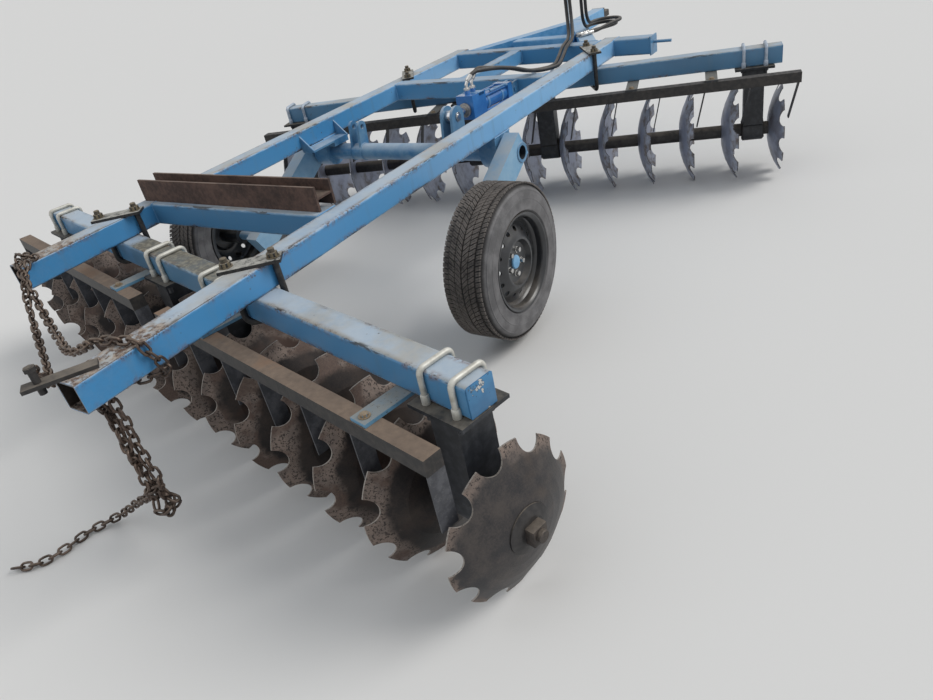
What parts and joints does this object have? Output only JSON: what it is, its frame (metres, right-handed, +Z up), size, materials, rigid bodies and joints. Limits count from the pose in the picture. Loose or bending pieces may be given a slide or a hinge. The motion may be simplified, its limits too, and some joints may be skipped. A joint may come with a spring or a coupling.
{
  "type": "trailed offset disc harrow",
  "caption": "Trailed offset disc harrow: box-tube frame, two angled gangs of notched dished discs, scraper bars, and transport wheels on a hydraulic torque tube.",
  "frame": {"origin": "on the floor under the middle of the machine's box", "axes": "+X to the machine's right, +Y forward to the hitch, +Z up"},
  "size_m": [3.4797, 5.4643, 1.2953],
  "materials": {
    "frame_blue": "worn paint",
    "clamp_dark": "dusty black",
    "standard_black": "dusty black paint",
    "scraper_brown": "rusty brown",
    "scraper_black": "black paint",
    "disc_steel": "earth-worn steel",
    "axle_iron": "dirty cast iron",
    "rim_black": "satin black",
    "tyre": "dusty rubber",
    "cylinder_blue": "gloss blue",
    "rod_chrome": "polished",
    "ballast_rust": "rusty",
    "hose_rubber": "black hose",
    "coupler_steel": "plated",
    "chain_rust": "rusty chain"
  },
  "bodies": {
    "frame": {"rail_right": "frame_blue", "rail_left": "frame_blue", "cross_rear": "frame_blue", "cross_middle": "frame_blue", "cross_front": "frame_blue", "front_stub": "frame_blue", "centre_beam": "frame_blue", "gang_beam_rear": "frame_blue", "gang_beam_front": "frame_blue", "clamps_rear": "clamp_dark", "clamps_front": "clamp_dark", "standards_rear_right": "standard_black", "standards_rear_left": "standard_black", "standards_front_right": "standard_black", "standards_front_left": "standard_black", "scraper_bar_rear_right": "scraper_brown", "scraper_bar_rear_left": "scraper_brown", "scraper_bar_front_right": "scraper_black", "scraper_bar_front_left": "scraper_black", "drawbar_legs": "frame_blue", "drawbar_cross": "frame_blue", "tongue": "frame_blue", "hitch_eye": "clamp_dark", "hose_stand": "frame_blue", "hose_inner": "hose_rubber", "hose_outer": "hose_rubber", "hose_couplers": "coupler_steel", "lift_bracket_right": "frame_blue", "lift_bracket_left": "frame_blue", "cylinder_anchor": "frame_blue", "ballast": "ballast_rust", "chain_plate": "clamp_dark", "chain": "chain_rust"},
    "gang_rear_right": {"axle_rear_right": "axle_iron", "discs_rear_right": "disc_steel"},
    "gang_rear_left": {"axle_rear_left": "axle_iron", "discs_rear_left": "disc_steel"},
    "gang_front_right": {"axle_front_right": "axle_iron", "discs_front_right": "disc_steel"},
    "gang_front_left": {"axle_front_left": "axle_iron", "discs_front_left": "disc_steel"},
    "wheel_lift": {"torque_tube": "frame_blue", "wheel_arm_right": "frame_blue", "wheel_arm_left": "frame_blue"},
    "wheel_right": {"rim_right": "rim_black", "tyre_right": "tyre"},
    "wheel_left": {"rim_left": "rim_black", "tyre_left": "tyre"},
    "cylinder_barrel": {"cylinder_barrel": "cylinder_blue"},
    "cylinder_rod": {"cylinder_rod": "rod_chrome"}
  },
  "joints": [
    {"name": "gang_rear_right_spin", "type": "hinge", "parent": "frame", "child": "gang_rear_right", "pos_m": [-0.0284, -1.657, 0.285], "axis": [0.9751, -0.2215, 0], "continuous": true},
    {"name": "gang_rear_left_spin", "type": "hinge", "parent": "frame", "child": "gang_rear_left", "pos_m": [-0.0284, -1.657, 0.285], "axis": [0.9751, -0.2215, 0], "continuous": true},
    {"name": "gang_front_right_spin", "type": "hinge", "parent": "frame", "child": "gang_front_right", "pos_m": [-0.0284, 0.937, 0.285], "axis": [0.9563, 0.2924, 0], "continuous": true},
    {"name": "gang_front_left_spin", "type": "hinge", "parent": "frame", "child": "gang_front_left", "pos_m": [-0.0284, 0.937, 0.285], "axis": [0.9563, 0.2924, 0], "continuous": true},
    {"name": "wheel_lift_turn", "type": "hinge", "parent": "frame", "child": "wheel_lift", "pos_m": [-0.0284, -0.131, 0.672], "axis": [1, 0, 0], "range_deg": [0, 28]},
    {"name": "wheel_right_spin", "type": "hinge", "parent": "wheel_lift", "child": "wheel_right", "pos_m": [0.9896, -0.7448, 0.39357], "axis": [1, 0, 0], "continuous": true},
    {"name": "wheel_left_spin", "type": "hinge", "parent": "wheel_lift", "child": "wheel_left", "pos_m": [-1.0464, -0.7448, 0.39357], "axis": [1, 0, 0], "continuous": true},
    {"name": "barrel_tilt", "type": "hinge", "parent": "frame", "child": "cylinder_barrel", "pos_m": [0.3016, 0.504, 0.82], "axis": [1, 0, 0], "range_deg": [0, 1.1]},
    {"name": "rod_slide", "type": "slide", "parent": "cylinder_barrel", "child": "cylinder_rod", "axis": [0, -0.9988, 0.0487], "range_m": [0, 0.0876]}
  ],
  "couplings": [
    {"joint": "barrel_tilt", "follows": "wheel_lift_turn", "ratio": 0.0375},
    {"joint": "rod_slide", "follows": "wheel_lift_turn", "m_per_rad": 0.179}
  ]
}
